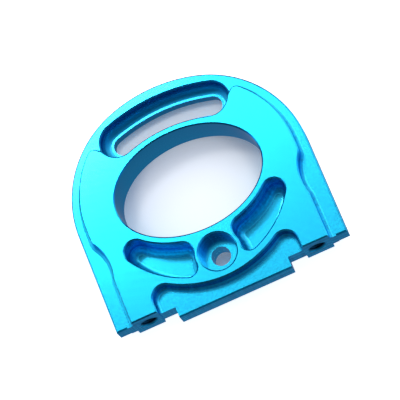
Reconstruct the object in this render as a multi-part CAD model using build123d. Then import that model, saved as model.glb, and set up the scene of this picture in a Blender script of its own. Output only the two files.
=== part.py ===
from build123d import *
import math
import os

# Motor mount milled from one plate. The plate lies on its motor side: X across, Y from the feet
# towards the arch, Z up out of the front face. The origin is on the axis of the pivot screw hole,
# in the back face that the motor seats on.

# Levels across the thickness
thickness = 6.6
front_step = 2.2
back_step = 1.1
rim_front = thickness - front_step
rim_thickness = rim_front - back_step

# Motor pattern: pivot screw, slot for the second screw, opening for the shaft and boss between
screw_spacing = 25.0
screw_hole_radius = 1.55
opening_y = screw_spacing / 2
opening_half_x = 12.05
opening_wall = 1.2

# Arched rim: straight sides, an arc over each shoulder, a larger arc over the slot pocket
rim_half = 19.33
rim_bottom = -4.77
shoulder_x = 1.93
crown_lead = 6.2
rim_over_pocket = 1.65

# Feet, a little proud of the rim below and set in from its sides, with a waist notch above each
foot_proud = 0.2
foot_inset = 2.87
foot_width = 4.4
waist_depth = 1.44
waist_drop = 7.1
waist_radius = 7.4
waist_blend = 1.8

# Raised face: stops short of the rim, with a rounded ear at each end of the slot
face_margin = 1.76
ear_start = -22.0
ear_slope = 43.5
ear_radius = 1.1

# Tongue below the web
tongue_half = 9.42
tongue_length = 1.78

# Recess between the feet: an arc about the opening that leaves a thin strip of web at the middle
web_rise = 0.57
recess_end_radius = 2.0

# Round left by the cutter at the foot of the front step; the back step is cut square
step_radius = 0.6

# Pocket that sinks the head of the slot's screw
slot_half_angle = 18.0
pocket_half_width = 3.2
pocket_depth = 4.75
pocket_floor_radius = 1.3

# Counterbore for the head of the pivot screw
counterbore_radius = 3.0
counterbore_depth = 3.1

# Kidney pockets between the opening and the recess
ring_wall = 1.12
recess_wall = 1.28
pivot_wall = 0.72
kidney_depth = 4.6
kidney_end_radius = 1.8
kidney_upper_radius = 1.8
kidney_lower_radius = 1.45
kidney_floor_radius = 1.25

# Tapped holes in the ends of the feet
tap_radius = 1.25
tap_inset = 2.36
tap_z = 3.5
tap_depth = 7.0
tap_mouth = 0.3
drill_half_angle = 59.0

# Broken edges: rim and tongue, then the two faces with their holes and pockets
rim_break = 0.25
face_break = 0.22
corner_run = 1.83


def polar(centre, radius, angle):
    """The point at an angle, in degrees above the X axis, on a circle."""
    a = math.radians(angle)
    return (centre[0] + radius * math.cos(a), centre[1] + radius * math.sin(a))


# The opening leaves a wall to the counterbore
opening_half_y = opening_y - counterbore_radius - opening_wall

# The crown clears the slot pocket, and the shoulder arcs run into it without a corner
rim_top = screw_spacing + pocket_half_width + rim_over_pocket
shoulder_radius = rim_half - shoulder_x
crown_radius = shoulder_radius + crown_lead
crown = (0, rim_top - crown_radius)
shoulder = (shoulder_x, crown[1] + math.sqrt(crown_lead**2 - shoulder_x**2))
crown_angle = math.degrees(math.atan2(shoulder[1] - crown[1], shoulder_x))


def arched(margin, bottom_points):
    """The arched outline moved in by a margin; the right half closes through the given points."""
    with BuildSketch() as outline:
        with BuildLine():
            CenterArc(crown, crown_radius - margin, crown_angle, 90 - crown_angle)
            CenterArc(shoulder, shoulder_radius - margin, 0, crown_angle)
            Polyline((rim_half - margin, shoulder[1]), *bottom_points)
            mirror(about=Plane.YZ)
        make_face()
    return outline.sketch


# Levels along Y at the foot of the mount
foot_bottom = rim_bottom - foot_proud
tongue_bottom = rim_bottom - tongue_length
recess_radius = opening_y - rim_bottom - web_rise

# Rim and web in one plate, its edges broken except beside the feet, where no cutter reaches
rim_outline = arched(0, [(rim_half, rim_bottom), (0, rim_bottom)])
plate = extrude(rim_outline, rim_thickness)
plate = chamfer(plate.edges().filter_by(Axis.Z, reverse=True), rim_break)
sharp_width = 2 * (rim_half - corner_run)
beside = Box(sharp_width, 2 * rim_break, rim_thickness, align=(Align.CENTER, Align.MIN, Align.MIN))
plate += Pos(0, rim_bottom, 0) * beside
tongue = Box(2 * tongue_half, -tongue_bottom, rim_thickness, align=(Align.CENTER, Align.MAX, Align.MIN))
tongue = chamfer(tongue.edges().filter_by(Axis.X).group_by(Axis.Y)[0], rim_break)
plate = Pos(0, 0, back_step) * (plate + tongue)

# Outline of the raised face: the arch moved in, the feet below, a waist notch cut in each side
face_half = rim_half - face_margin
face_bottom = [(face_half, foot_bottom), (0, foot_bottom)]
foot_half_out = rim_half - foot_inset
foot_half_in = foot_half_out - foot_width
waist_half = face_half - waist_depth
waist_y = shoulder[1] - waist_drop
waist = (waist_half + waist_radius, waist_y)
foot_reach = math.sqrt(waist_radius**2 - (waist[0] - foot_half_out) ** 2)
side_reach = math.sqrt(waist_radius**2 - (waist[0] - face_half) ** 2)
foot_top = (foot_half_out, waist_y - foot_reach)
side_foot = (face_half, waist_y + side_reach)
with BuildSketch() as notch_outline:
    with BuildLine():
        ThreePointArc(foot_top, (waist_half, waist_y), side_foot)
        Polyline(
            side_foot,
            (face_half + 1, side_foot[1]),
            (face_half + 1, foot_bottom - 1),
            (foot_half_out, foot_bottom - 1),
            foot_top,
        )
    make_face()
notch = notch_outline.sketch
notches = notch + mirror(notch, about=Plane.YZ)
face_outline = arched(face_margin, face_bottom) - notches
blend_points = [v for v in face_outline.vertices() if abs(v.Y - foot_top[1]) < 0.01]
blend_points += [v for v in face_outline.vertices() if abs(v.Y - side_foot[1]) < 0.01]
face_outline = fillet(blend_points, waist_blend)

# Recess between the feet: an arc about the opening, a round at each end running into it
recess_end_x = foot_half_in - recess_end_radius
recess_end_y = opening_y - math.sqrt((recess_radius + recess_end_radius) ** 2 - recess_end_x**2)
recess_end = (recess_end_x, recess_end_y)
recess_lean = math.degrees(math.atan2(opening_y - recess_end_y, recess_end_x))
with BuildSketch() as recess_outline:
    with BuildLine():
        CenterArc((0, opening_y), recess_radius, -90, 90 - recess_lean)
        CenterArc(recess_end, recess_end_radius, 0, 180 - recess_lean)
        Polyline((foot_half_in, recess_end_y), (foot_half_in, foot_bottom - 1), (0, foot_bottom - 1))
        mirror(about=Plane.YZ)
    make_face()
recess = recess_outline.sketch


# Front face: each ear runs from the end of the slot pocket up to the rim side of the face. The
# cut over the pocket starts inside the pocket, where nothing is left to cut.
slot_path = CenterArc((0, 0), screw_spacing, 90 - slot_half_angle, 2 * slot_half_angle)
slot_end = polar((0, 0), screw_spacing, 90 - slot_half_angle)
ear_edge = polar(slot_end, pocket_half_width, ear_start)
ear_lean = math.radians(ear_slope)
ear_reach = shoulder_radius - face_margin
off_x, off_y = ear_edge[0] - shoulder[0], ear_edge[1] - shoulder[1]
off_along = off_x * math.cos(ear_lean) + off_y * math.sin(ear_lean)
ear_length = math.sqrt(off_along**2 - off_x**2 - off_y**2 + ear_reach**2) - off_along
ear_tip = polar(ear_edge, ear_length, ear_slope)
ear_foot = polar(ear_edge, -screw_hole_radius, ear_slope)
ear_foot_radius = math.dist((0, 0), ear_foot)
ear_bearing = math.degrees(math.atan2(ear_foot[1], ear_foot[0]))
with BuildSketch() as above_outline:
    with BuildLine():
        CenterArc((0, 0), ear_foot_radius, ear_bearing, 90 - ear_bearing)
        Polyline(ear_foot, ear_tip, (ear_tip[0], rim_top), (0, rim_top))
        mirror(about=Plane.YZ)
    make_face()
front_outline = face_outline - above_outline.sketch
tips = [v for v in front_outline.vertices() if abs(abs(v.X) - ear_tip[0]) < 0.01 and v.Y > opening_y]
front_outline = fillet(tips, ear_radius)

# The raised face on the motor side also runs over the slot, so the motor seats all round it
core = extrude(face_outline, rim_front)
core += Pos(0, 0, rim_front) * extrude(front_outline, front_step)
mount = core + plate


def step_foot(body, outline, level):
    """The inner corner at a level, where a raised face stands on the rim."""
    walls = [w for w in outline.edges() if w.center().Y > foot_bottom + 0.01]
    found = []
    for edge in body.edges():
        middle = edge.position_at(0.5)
        flat = edge.bounding_box().size.Z < 0.01 and abs(middle.Z - level) < 0.01
        if flat and min(w.distance_to(Vector(middle.X, middle.Y)) for w in walls) < 0.01:
            found.append(edge)
    return found


mount = fillet(step_foot(mount, front_outline, rim_front), step_radius)

# Recess floor: level with the rim on both sides, and its lower edge level with the rim's
recess_cut = extrude(recess, front_step)
recess_foot = recess_cut.edges().group_by(Axis.Z)[0].filter_by(lambda e: e.center().Y > foot_bottom)
mount -= Pos(0, 0, rim_front) * fillet(recess_foot, step_radius)
mount -= extrude(recess, back_step)
for side in (-1, 1):
    web_edge = Box(
        foot_half_in - tongue_half,
        1,
        thickness,
        align=(Align.MAX if side > 0 else Align.MIN, Align.MAX, Align.MIN),
    )
    mount -= Pos(side * foot_half_in, rim_bottom, 0) * web_edge

# Opening
opening = Pos(0, opening_y) * Ellipse(opening_half_x, opening_half_y)
mount -= extrude(opening, thickness)

# Slot and its pocket, both rounded at their ends about the same centres
mount -= extrude(SlotArc(slot_path, 2 * screw_hole_radius), thickness)
pocket = extrude(SlotArc(slot_path, 2 * pocket_half_width), pocket_depth)
pocket = fillet(pocket.edges().group_by(Axis.Z)[0], pocket_floor_radius)
mount -= Pos(0, 0, thickness - pocket_depth) * pocket

# Pivot screw hole and counterbore
mount -= extrude(Circle(screw_hole_radius), thickness)
mount -= Pos(0, 0, thickness - counterbore_depth) * extrude(Circle(counterbore_radius), thickness)

# Kidney pockets: between the wall round the opening, the recess wall and the counterbore wall
wall_half_x = opening_half_x + ring_wall
wall_half_y = opening_half_y + ring_wall
kidney_outer_radius = recess_radius - recess_wall
pivot_wall_radius = counterbore_radius + pivot_wall
opening_at = (0, opening_y)


def off_wall(t, distance):
    """A point at a distance outside the opening's wall, at the parameter t of its ellipse."""
    x, y = wall_half_x * math.cos(t), wall_half_y * math.sin(t)
    nx, ny = x / wall_half_x**2, y / wall_half_y**2
    size = math.hypot(nx, ny)
    return (x + distance * nx / size, opening_y + y + distance * ny / size)


def crossing(miss, low, high):
    """The value between low and high where miss changes sign."""
    for _ in range(60):
        middle = (low + high) / 2
        if miss(low) * miss(middle) > 0:
            low = middle
        else:
            high = middle
    return middle


def bearing(centre, point):
    """The angle of a point seen from a centre, in degrees above the X axis."""
    return math.degrees(math.atan2(point[1] - centre[1], point[0] - centre[0]))


def upper_miss(t):
    return math.dist(off_wall(t, kidney_upper_radius), (0, 0)) - pivot_wall_radius - kidney_upper_radius


def end_miss(t):
    reach = math.dist(off_wall(t, kidney_end_radius), opening_at)
    return reach - kidney_outer_radius + kidney_end_radius


t_upper = crossing(upper_miss, math.radians(-85), math.radians(-50))
t_end = crossing(end_miss, math.radians(-60), math.radians(0))
upper_at = off_wall(t_upper, kidney_upper_radius)
end_at = off_wall(t_end, kidney_end_radius)
lower_near = pivot_wall_radius + kidney_lower_radius
lower_far = kidney_outer_radius - kidney_lower_radius
lower_y = (opening_y**2 + lower_near**2 - lower_far**2) / (2 * opening_y)
lower_at = (math.sqrt(lower_near**2 - lower_y**2), lower_y)
upper_from = bearing(upper_at, off_wall(t_upper, 0))
upper_to = bearing(upper_at, (0, 0)) % 360
end_from = bearing(opening_at, end_at)
end_to = bearing(end_at, off_wall(t_end, 0))
lower_from = bearing((0, 0), lower_at)
lower_to = bearing(opening_at, lower_at)
pivot_from = bearing((0, 0), upper_at)
with BuildSketch() as kidney_outline:
    with BuildLine():
        EllipticalCenterArc(
            opening_at,
            wall_half_x,
            wall_half_y,
            start_angle=math.degrees(t_upper),
            arc_size=math.degrees(t_end - t_upper),
        )
        CenterArc(end_at, kidney_end_radius, end_from, end_to - end_from)
        CenterArc(opening_at, kidney_outer_radius, lower_to, end_from - lower_to)
        CenterArc(lower_at, kidney_lower_radius, 180 + lower_from, lower_to - lower_from + 180)
        CenterArc((0, 0), pivot_wall_radius, lower_from, pivot_from - lower_from)
        CenterArc(upper_at, kidney_upper_radius, upper_from, upper_to - upper_from)
    make_face()
kidney = extrude(kidney_outline.sketch, kidney_depth)
kidney = fillet(kidney.edges().group_by(Axis.Z)[0], kidney_floor_radius)
kidney = Pos(0, 0, thickness - kidney_depth) * kidney
mount -= kidney
mount -= mirror(kidney, about=Plane.YZ)

# Tapped holes in the ends of the feet, drilled at the tapping size, with a broken mouth
point_length = tap_radius / math.tan(math.radians(drill_half_angle))
with BuildSketch() as tap_section:
    with BuildLine():
        Polyline(
            (0, 0),
            (tap_radius + tap_mouth, 0),
            (tap_radius, tap_mouth),
            (tap_radius, tap_depth),
            (0, tap_depth + point_length),
            (0, 0),
        )
    make_face()
tapped = revolve(tap_section.sketch, Axis.Y, 360)
tap_x = foot_half_out - tap_inset
for side in (-1, 1):
    mount -= Pos(side * tap_x, foot_bottom, tap_z) * tapped

# Broken edges: round both faces, the front one's holes and pockets, and the slot pocket's edge
# where it opens on the rim
for end in (-1, 0):
    seat = mount.faces().filter_by(Axis.Z).sort_by(Axis.Z)[end]
    mount = chamfer(seat.outer_wire().edges(), face_break)
front = mount.faces().filter_by(Axis.Z).sort_by(Axis.Z)[-1]
mount = chamfer([e for w in front.inner_wires() for e in w.edges()], face_break)
lip = []
for edge in mount.edges():
    middle = edge.position_at(0.5)
    reach = slot_path.distance_to(Vector(middle.X, middle.Y))
    if abs(middle.Z - rim_front) < 0.01 and abs(reach - pocket_half_width) < 0.01:
        lip.append(edge)
mount = chamfer(lip, face_break)

os.makedirs("parts", exist_ok=True)
export_step(mount, "parts/motor_mount.step")
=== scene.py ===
import math
import bpy
from mathutils import Euler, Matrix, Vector


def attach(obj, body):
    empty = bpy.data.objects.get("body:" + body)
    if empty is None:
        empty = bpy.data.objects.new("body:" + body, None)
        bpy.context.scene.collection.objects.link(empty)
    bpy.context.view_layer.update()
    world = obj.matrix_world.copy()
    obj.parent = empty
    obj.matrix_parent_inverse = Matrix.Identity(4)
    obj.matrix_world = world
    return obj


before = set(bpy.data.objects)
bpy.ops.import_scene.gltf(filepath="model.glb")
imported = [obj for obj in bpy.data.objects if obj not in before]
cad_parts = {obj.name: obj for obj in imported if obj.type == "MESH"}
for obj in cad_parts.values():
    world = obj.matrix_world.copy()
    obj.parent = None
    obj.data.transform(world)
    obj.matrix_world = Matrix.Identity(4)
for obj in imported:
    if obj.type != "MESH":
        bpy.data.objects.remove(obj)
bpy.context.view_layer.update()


# The mount. One plate of aluminium, milled from both sides with the edges broken, then dyed bright
# blue in the anodising bath. The faces keep a faint trace of the face mill, the pocket floors the
# swirl of the end mill, and the walls its steps and chatter.
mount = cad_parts["motor_mount"]
dyed_blue = (0.012, 0.50, 0.86)
blue_at_a_slant = (0.50, 0.74, 0.94, 1.0)
# Painted shade for the inside of the drilled foot holes
painted_hole_shade = (0.006, 0.10, 0.17, 1.0)
blue_sheen = 0.22
plate_thick = 0.0066
face_level = 0.0062
wall_top = 0.0060
slot_ledge = 0.0035
slot_edge = 0.0217
opening_middle = 0.0125
opening_half_wide = 0.01205
opening_half_high = 0.0083
foot_hole_x = 0.0141
foot_hole_z = 0.0035
foot_hole_radius = 0.00125
foot_hole_bottom = 0.0032
mill_pitch = 0.00042
mill_offset = (0.031, 0.052, 0.0)


def anodised(name, colour, sheen):
    """Dyed anodised aluminium, with each cutter's marks, and painted shade in the slot and the
    holes.
    """
    finish = bpy.data.materials.new(name)
    finish.use_nodes = True
    tree = finish.node_tree
    shader = tree.nodes["Principled BSDF"]
    shader.inputs["Metallic"].default_value = 1.0
    shader.inputs["Specular Tint"].default_value = blue_at_a_slant
    shader.inputs["IOR"].default_value = 1.5
    shader.inputs["Coat Weight"].default_value = 0.22
    shader.inputs["Coat Roughness"].default_value = 0.12

    def node(kind, **settings):
        made = tree.nodes.new(kind)
        for key, value in settings.items():
            setattr(made, key, value)
        return made

    def joined(out, into):
        tree.links.new(out, into)

    def ramp(value, low, high, to_low, to_high):
        """An even change from to_low to to_high while the value goes from low to high."""
        made = node("ShaderNodeMapRange")
        joined(value, made.inputs["Value"])
        made.inputs["From Min"].default_value = low
        made.inputs["From Max"].default_value = high
        made.inputs["To Min"].default_value = to_low
        made.inputs["To Max"].default_value = to_high
        return made.outputs["Result"]

    def of_two(operation, first, second):
        """The product of two values, or the greater of them."""
        made = node("ShaderNodeMath", operation=operation)
        joined(first, made.inputs[0])
        joined(second, made.inputs[1])
        return made.outputs[0]

    def size_of(value):
        """The value without its sign."""
        made = node("ShaderNodeMath", operation="ABSOLUTE")
        joined(value, made.inputs[0])
        return made.outputs[0]

    def either(choice, first, second):
        """The first where the choice is 0, the second, which may be a number, where it is 1."""
        made = node("ShaderNodeMix", data_type="FLOAT")
        joined(choice, made.inputs[0])
        joined(first, made.inputs[2])
        if isinstance(second, float):
            made.inputs[3].default_value = second
        else:
            joined(second, made.inputs[3])
        return made.outputs[0]

    def speckle(scale, detail):
        """Noise at so many spots a metre along X, Y and Z."""
        stretch = node("ShaderNodeMapping")
        stretch.inputs["Scale"].default_value = scale
        joined(place, stretch.inputs["Vector"])
        made = node("ShaderNodeTexNoise")
        made.inputs["Scale"].default_value = 1.0
        made.inputs["Detail"].default_value = detail
        joined(stretch.outputs["Vector"], made.inputs["Vector"])
        return made.outputs[0]

    # Where a spot is: on a level surface or a wall, on the raised face or in a pocket, below the
    # slot's pocket or in it, and in the oval opening or off it
    place = node("ShaderNodeTexCoord").outputs["Object"]
    at = node("ShaderNodeSeparateXYZ")
    joined(place, at.inputs["Vector"])
    facing = node("ShaderNodeSeparateXYZ")
    joined(node("ShaderNodeNewGeometry").outputs["Normal"], facing.inputs["Vector"])
    level = size_of(facing.outputs["Z"])
    flat = ramp(level, 0.975, 0.997, 0.0, 1.0)
    on_face = ramp(at.outputs["Z"], face_level, face_level + 0.0002, 0.0, 1.0)
    below_face = ramp(at.outputs["Z"], wall_top - 0.0001, wall_top + 0.0001, 1.0, 0.0)
    above_ledge = ramp(at.outputs["Z"], slot_ledge - 0.0001, slot_ledge + 0.0001, 0.0, 1.0)
    below_slot = ramp(at.outputs["Y"], slot_edge - 0.0005, slot_edge + 0.0005, 1.0, 0.0)
    oval = node("ShaderNodeMapping")
    oval.inputs["Scale"].default_value = (1 / opening_half_wide, 1 / opening_half_high, 0.0)
    oval.inputs["Location"].default_value = (0.0, -opening_middle / opening_half_high, 0.0)
    joined(place, oval.inputs["Vector"])
    outward = node("ShaderNodeVectorMath", operation="LENGTH")
    joined(oval.outputs["Vector"], outward.inputs[0])
    off_opening = ramp(outward.outputs["Value"], 1.03, 1.06, 0.0, 1.0)

    # Face mill: fine rings about the spindle's path, far off the part, so they run nearly straight
    ring_at = node("ShaderNodeMapping")
    ring_at.inputs["Location"].default_value = mill_offset
    joined(place, ring_at.inputs["Vector"])
    rings = node("ShaderNodeTexWave", wave_type="RINGS", rings_direction="Z")
    rings.inputs["Scale"].default_value = 0.314 / mill_pitch / 3.1416
    rings.inputs["Distortion"].default_value = 0.6
    rings.inputs["Detail"].default_value = 2.0
    joined(ring_at.outputs["Vector"], rings.inputs["Vector"])

    # End mill: swirl on the floors, upright chatter and level steps on the walls. The opening was
    # bored, so its wall is smoother.
    swirl = ramp(speckle((3000.0, 3000.0, 3000.0), 3.0), 0.3, 0.7, 0.0, 1.0)
    chatter = speckle((2400.0, 2400.0, 90.0), 2.0)
    steps = speckle((50.0, 50.0, 2600.0), 3.0)
    both = node("ShaderNodeMath", operation="MULTIPLY_ADD")
    joined(chatter, both.inputs[0])
    both.inputs[1].default_value = 0.45
    joined(steps, both.inputs[2])
    rough_cut = ramp(both.outputs[0], 0.50, 0.95, 0.0, 1.0)
    bored_smooth = ramp(at.outputs["Z"], 0.0, plate_thick, 0.36, 0.20)
    straight = either(off_opening, bored_smooth, rough_cut)

    # The round corner between wall and floor is cut by the mill's own radius, matt and even
    leaning = ramp(level, 0.12, 0.35, 0.0, 1.0)
    corner = of_two("MULTIPLY", below_face, leaning)
    on_wall = either(corner, straight, 0.45)
    marks = either(flat, on_wall, either(on_face, swirl, rings.outputs["Color"]))

    # How deep the marks are, and the grain of the etched surface under the dye
    on_floors = ramp(on_face, 0.0, 1.0, 0.030, 0.015)
    on_walls = ramp(flat, 0.0, 0.5, 0.30, 0.0)
    depth = node("ShaderNodeBump")
    depth.inputs["Distance"].default_value = 0.00005
    joined(of_two("MAXIMUM", on_floors, on_walls), depth.inputs["Strength"])
    joined(marks, depth.inputs["Height"])
    grain = speckle((2600.0, 2600.0, 2600.0), 3.0)
    fine = node("ShaderNodeBump")
    fine.inputs["Strength"].default_value = 0.10
    fine.inputs["Distance"].default_value = 0.00001
    joined(grain, fine.inputs["Height"])
    joined(depth.outputs["Normal"], fine.inputs["Normal"])
    joined(fine.outputs["Normal"], shader.inputs["Normal"])

    # Sheen: even on the level surfaces, uneven in the marks of the walls, dull in the corners
    bright = ramp(grain, 0.0, 1.0, sheen - 0.04, sheen + 0.06)
    dull = ramp(on_wall, 0.0, 1.0, sheen - 0.10, sheen + 0.08)
    joined(either(flat, either(corner, dull, 0.44), bright), shader.inputs["Roughness"])

    # The dye takes evenly on the faces, and lies light and dark in the marks of floors and walls.
    # The walls of the slot's pocket, the narrowest, are painted darker as shade, and its ledge
    # darkest.
    cloud = ramp(speckle((160.0, 160.0, 160.0), 4.0), 0.0, 1.0, 0.52, 0.60)
    on_floor = ramp(swirl, 0.0, 1.0, 0.36, 0.62)
    # Painted shade: walls in and beyond the slot's pocket take a much darker share than those
    # below
    painted_slot_shade = ramp(at.outputs["Y"], slot_edge - 0.0005, slot_edge + 0.0005, 1.45, 0.30)
    streaks_and_slot_shade = of_two("MULTIPLY", ramp(straight, 0.0, 1.0, 0.10, 1.0), painted_slot_shade)
    # Painted shade: floors in the slot at and below its ledge take the darkest colour
    floor_share = of_two("MULTIPLY", on_floor, of_two("MAXIMUM", above_ledge, below_slot))
    share = either(flat, streaks_and_slot_shade, either(on_face, floor_share, cloud))
    red, green, blue = colour
    dye_and_slot_shade = node("ShaderNodeMix", data_type="RGBA")
    dye_and_slot_shade.inputs[6].default_value = (red * 0.6, green * 0.54, blue * 0.58, 1.0)
    dye_and_slot_shade.inputs[7].default_value = (red * 1.4, green * 1.35, min(blue * 1.3, 1.0), 1.0)
    joined(share, dye_and_slot_shade.inputs[0])

    # Painted shade inside the drilled holes for the foot screws: the colour is darkened, down to
    # their bottoms
    across = node("ShaderNodeCombineXYZ")
    joined(size_of(at.outputs["X"]), across.inputs["X"])
    joined(at.outputs["Z"], across.inputs["Z"])
    off_axis = node("ShaderNodeVectorMath", operation="DISTANCE")
    off_axis.inputs[1].default_value = (foot_hole_x, 0.0, foot_hole_z)
    joined(across.outputs[0], off_axis.inputs[0])
    within = ramp(
        off_axis.outputs["Value"], foot_hole_radius + 0.00003, foot_hole_radius + 0.00025, 1.0, 0.0
    )
    this_side = ramp(at.outputs["Y"], foot_hole_bottom, foot_hole_bottom + 0.0001, 1.0, 0.0)
    # Mix in the painted shade of the drilled holes
    dark = node("ShaderNodeMix", data_type="RGBA")
    dark.inputs[7].default_value = painted_hole_shade
    joined(of_two("MULTIPLY", within, this_side), dark.inputs[0])
    joined(dye_and_slot_shade.outputs[2], dark.inputs[6])
    joined(dark.outputs[2], shader.inputs["Base Color"])
    return finish


blue_finish = anodised("blue_anodised", dyed_blue, blue_sheen)
for slot in mount.material_slots:
    slot.material = blue_finish


# Threads in the ends of the feet: M3, cut with a tap into the drilled holes. The crests stand in
# from the drilled wall by a tenth of a millimetre, and have the same finish as the holes, with its
# painted shade.
foot_end = -0.00497
thread_pitch = 0.0005
thread_turns = 12
thread_start = foot_end + 0.00035
crest_root = foot_hole_radius + 0.00001
crest_top = foot_hole_radius - 0.00011
crest_half_wide = 0.42 * thread_pitch


def thread(name, x):
    """The crests of one tapped hole, as one ridge that winds in from the mouth."""
    steps = 28
    profile = ((crest_root, -crest_half_wide), (crest_top, 0.0), (crest_root, crest_half_wide))
    points = []
    for i in range(thread_turns * steps + 1):
        turn = 2 * math.pi * i / steps
        along = thread_start + thread_pitch * i / steps
        for radius, shift in profile:
            points.append((
                x + radius * math.cos(turn),
                along + shift,
                foot_hole_z + radius * math.sin(turn),
            ))
    faces = []
    for a in range(0, 3 * thread_turns * steps, 3):
        faces.append((a, a + 1, a + 4, a + 3))
        faces.append((a + 1, a + 2, a + 5, a + 4))
    mesh = bpy.data.meshes.new(name)
    mesh.from_pydata(points, [], faces)
    mesh.update()
    ridge = bpy.data.objects.new(name, mesh)
    bpy.context.collection.objects.link(ridge)
    ridge.data.materials.append(blue_finish)
    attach(ridge, "root")


thread("thread_left", -foot_hole_x)
thread("thread_right", foot_hole_x)


# The table: a plain white sheet with a painted glow, to keep the mount's shadow faint. The glow is
# weaker under the mount, painted shade so that the opening and the slot look into shade, and the
# sheet stays out of the reflections, where it would wash out the dark lower walls.
table_half_wide = 1.5
table_drop = 0.00002
mount_middle = (0.0, 0.012, 0.0)
glow_reach = 0.025
glow_at_middle = 0.50
glow_outside = 0.90
glow_between = ((0.32, 0.38), (0.46, 0.14), (0.62, 0.14), (0.73, 0.90))

corners = []
for x, y in ((-1, -1), (1, -1), (1, 1), (-1, 1)):
    corners.append((x * table_half_wide, y * table_half_wide, 0))
table_mesh = bpy.data.meshes.new("table")
table_mesh.from_pydata(corners, [], [(0, 1, 2, 3)])
table = bpy.data.objects.new("table", table_mesh)
bpy.context.collection.objects.link(table)
table.location.z = -table_drop
table.visible_glossy = False

paper = bpy.data.materials.new("white_paper")
paper.use_nodes = True
pulp = paper.node_tree
sheet = pulp.nodes["Principled BSDF"]
sheet.inputs["Base Color"].default_value = (0.90, 0.91, 0.92, 1.0)
sheet.inputs["Roughness"].default_value = 0.9
sheet.inputs["Specular IOR Level"].default_value = 0.0
sheet.inputs["Emission Color"].default_value = (0.97, 0.98, 1.0, 1.0)
from_middle = pulp.nodes.new("ShaderNodeVectorMath")
from_middle.operation = "DISTANCE"
from_middle.inputs[1].default_value = mount_middle
pulp.links.new(pulp.nodes.new("ShaderNodeTexCoord").outputs["Object"], from_middle.inputs[0])
reached = pulp.nodes.new("ShaderNodeMath")
reached.operation = "MULTIPLY"
reached.inputs[1].default_value = 1 / glow_reach
reached.use_clamp = True
pulp.links.new(from_middle.outputs["Value"], reached.inputs[0])
glow = pulp.nodes.new("ShaderNodeFloatCurve")
glow_line = glow.mapping.curves[0]
glow_line.points[0].location = (0.0, glow_at_middle)
glow_line.points[1].location = (1.0, glow_outside)
for reach, strength in glow_between:
    glow_line.points.new(reach, strength)
glow.mapping.update()
pulp.links.new(reached.outputs["Value"], glow.inputs["Value"])
pulp.links.new(glow.outputs["Value"], sheet.inputs["Emission Strength"])
table_mesh.materials.append(paper)


# Studio light: a cloth tent that is bright behind the mount and at its sides and dark towards the
# camera, where it is also bluer, with three soft boxes above it. The one at the upper left is the
# smallest and much the brightest.
bluish_white = (0.60, 0.74, 1.0, 1.0)
deep_bluish = (0.30, 0.50, 1.0, 1.0)
white = (1.0, 1.0, 1.0, 1.0)
aimed_at = Vector((0.0, 0.012, 0.003))
tent = bpy.data.worlds.new("tent")
bpy.context.scene.world = tent
tent.use_nodes = True
cloth = tent.node_tree
lit_cloth = cloth.nodes["Background"]
way = cloth.nodes.new("ShaderNodeSeparateXYZ")
cloth.links.new(cloth.nodes.new("ShaderNodeTexCoord").outputs["Generated"], way.inputs[0])


def fade(value, start, end, dark, light):
    """A soft change of the tent's brightness between two places along one direction."""
    made = cloth.nodes.new("ShaderNodeMapRange")
    made.interpolation_type = "SMOOTHSTEP"
    cloth.links.new(value, made.inputs["Value"])
    made.inputs["From Min"].default_value = start
    made.inputs["From Max"].default_value = end
    made.inputs["To Min"].default_value = dark
    made.inputs["To Max"].default_value = light
    return made.outputs["Result"]


def combined(operation, first, second):
    """The product or the sum of two shares of the light."""
    made = cloth.nodes.new("ShaderNodeMath")
    made.operation = operation
    cloth.links.new(first, made.inputs[0])
    cloth.links.new(second, made.inputs[1])
    return made.outputs[0]


# The back wall is brighter to both sides of a line that runs a little left of the middle
left_of_middle = cloth.nodes.new("ShaderNodeMath")
left_of_middle.operation = "ADD"
left_of_middle.inputs[1].default_value = 0.12
cloth.links.new(way.outputs["X"], left_of_middle.inputs[0])
aside = cloth.nodes.new("ShaderNodeMath")
aside.operation = "ABSOLUTE"
cloth.links.new(left_of_middle.outputs[0], aside.inputs[0])
behind = fade(way.outputs["Y"], -0.35, 0.15, 0.0, 1.0)
to_the_sides = fade(aside.outputs[0], 0.2, 0.55, 0.26, 1.05)
back_wall = combined("MULTIPLY", behind, to_the_sides)

# The front is dark, apart from a dim right side
before = fade(way.outputs["Y"], -0.35, 0.15, 1.0, 0.0)
to_the_right = fade(way.outputs["X"], 0.2, 0.7, 0.0, 0.40)
front = combined("MULTIPLY", before, to_the_right)

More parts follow.
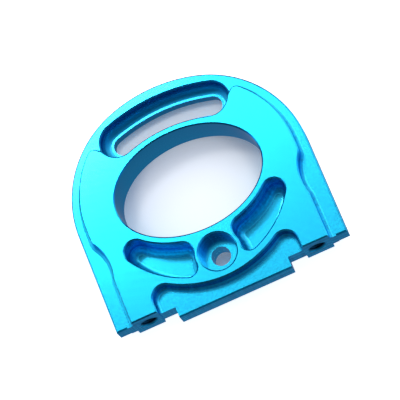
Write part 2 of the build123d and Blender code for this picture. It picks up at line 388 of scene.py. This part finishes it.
# The lit cloth ends at the table, and an even bluish light fills in, stronger from below
over_table = fade(way.outputs["Z"], -0.20, 0.02, 0.0, 1.0)
lit = combined("MULTIPLY", combined("ADD", back_wall, front), over_table)
cloth.links.new(lit, lit_cloth.inputs["Strength"])
tint = cloth.nodes.new("ShaderNodeMix")
tint.data_type = "RGBA"
tint.inputs[6].default_value = deep_bluish
tint.inputs[7].default_value = white
cloth.links.new(fade(way.outputs["Y"], -0.05, 0.33, 0.0, 1.0), tint.inputs[0])
cloth.links.new(tint.outputs[2], lit_cloth.inputs["Color"])
shade = cloth.nodes.new("ShaderNodeBackground")
shade.inputs["Color"].default_value = bluish_white
cloth.links.new(fade(way.outputs["Z"], -0.05, 0.15, 0.32, 0.12), shade.inputs["Strength"])
whole = cloth.nodes.new("ShaderNodeAddShader")
cloth.links.new(lit_cloth.outputs[0], whole.inputs[0])
cloth.links.new(shade.outputs[0], whole.inputs[1])
cloth.links.new(whole.outputs[0], cloth.nodes["World Output"].inputs["Surface"])


def soft_box(name, turned, raised, distance, width, radiance):
    """A square soft box, turned from +Y towards +X and raised from the table, in degrees."""
    lamp = bpy.data.lights.new(name, "AREA")
    lamp.shape = "SQUARE"
    lamp.size = width
    lamp.energy = radiance * math.pi * width * width
    sideways = math.radians(turned)
    upward = math.radians(raised)
    out = Vector((
        math.sin(sideways) * math.cos(upward),
        math.cos(sideways) * math.cos(upward),
        math.sin(upward),
    ))
    held = bpy.data.objects.new(name, lamp)
    held.location = aimed_at + distance * out
    held.rotation_euler = out.to_track_quat("Z", "Y").to_euler()
    bpy.context.collection.objects.link(held)


soft_box("upper_left", -19, 61.5, 0.45, 0.08, 14.0)
soft_box("upper_right", 30, 60, 0.55, 0.24, 2.1)
soft_box("overhead", 0, 70, 0.45, 0.22, 0.30)


# Camera: above the feet and a little to the right, turned so that the arch leans left. The mount
# fills two thirds of the frame, seen from 0.4 m through a long lens.
camera = bpy.data.cameras.new("camera")
camera.sensor_width = 36.0
camera.lens = 234.0
camera.clip_start = 0.01
camera.clip_end = 10.0
eye = bpy.data.objects.new("camera", camera)
eye.location = (0.032833, -0.123658, 0.381674)
eye.rotation_euler = Euler((math.radians(16.147), math.radians(11.889), math.radians(-21.731)))
bpy.context.collection.objects.link(eye)
bpy.context.scene.camera = eye
bpy.context.scene.view_settings.view_transform = "Standard"
